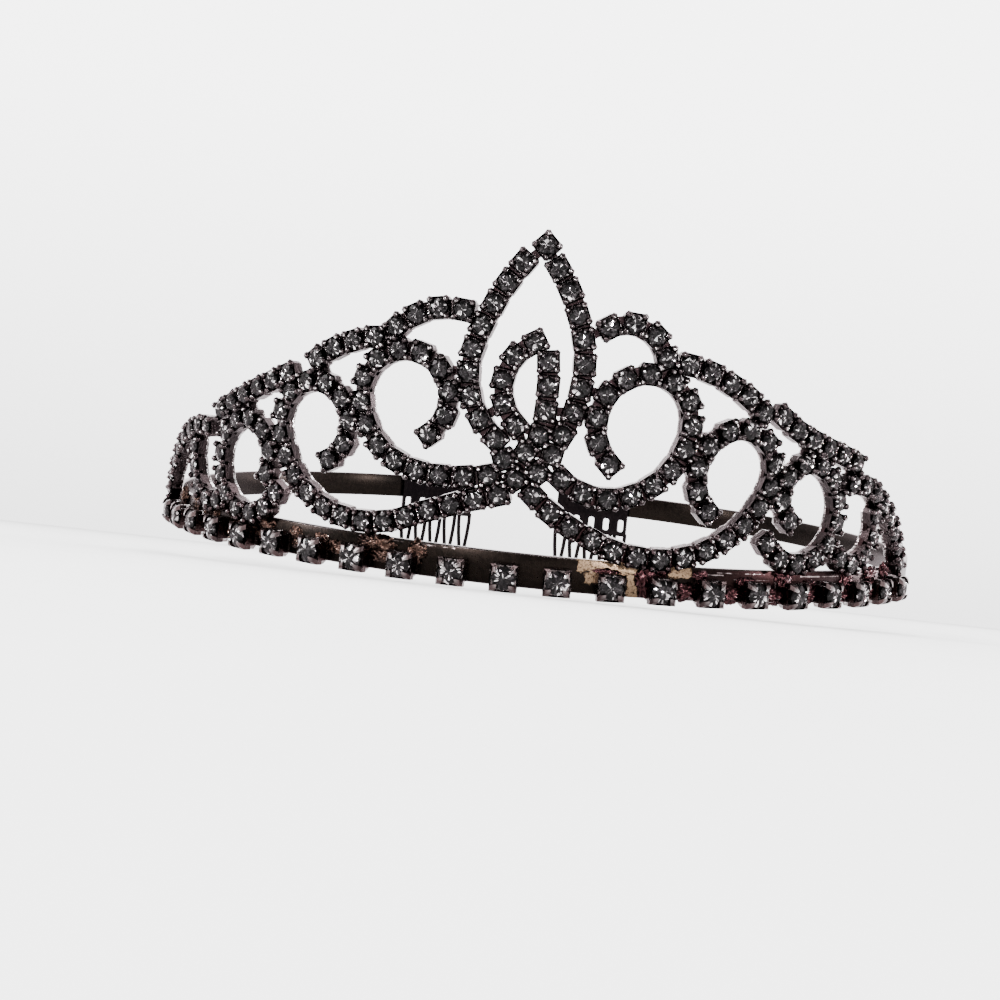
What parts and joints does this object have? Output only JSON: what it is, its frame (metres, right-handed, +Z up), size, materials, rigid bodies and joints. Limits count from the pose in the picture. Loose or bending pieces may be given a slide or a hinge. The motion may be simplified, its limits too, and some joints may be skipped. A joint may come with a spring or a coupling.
{
  "type": "tiara",
  "caption": "Tiara: bent metal band with a row of large set stones, an openwork of small square-set stones in scrolls and arches above it, and two hair combs at its ends.",
  "frame": {"origin": "middle of the footprint on the surface that the tiara stands on", "axes": "+X to the right as seen from the front, +Y from the front of the tiara back to its combs, +Z up"},
  "size_m": [0.134, 0.1449, 0.0503],
  "materials": {
    "metal_frame": "polished dark rose gold plating",
    "stones": "faceted smoky crystal, mirror backed",
    "combs": "satin dark bronze"
  },
  "bodies": {
    "root": {"metal_frame": "metal_frame", "stones_foot": "stones", "stones_peak": "stones", "stones_almond": "stones", "stones_lower_left": "stones", "stones_lower_right": "stones", "stones_upper_left": "stones", "stones_upper_right": "stones", "stones_arches_left": "stones", "stones_arches_right": "stones", "stones_scroll_left": "stones", "stones_scroll_right": "stones", "stones_end_left": "stones", "stones_end_right": "stones", "comb_left": "combs", "comb_right": "combs"}
  },
  "joints": []
}
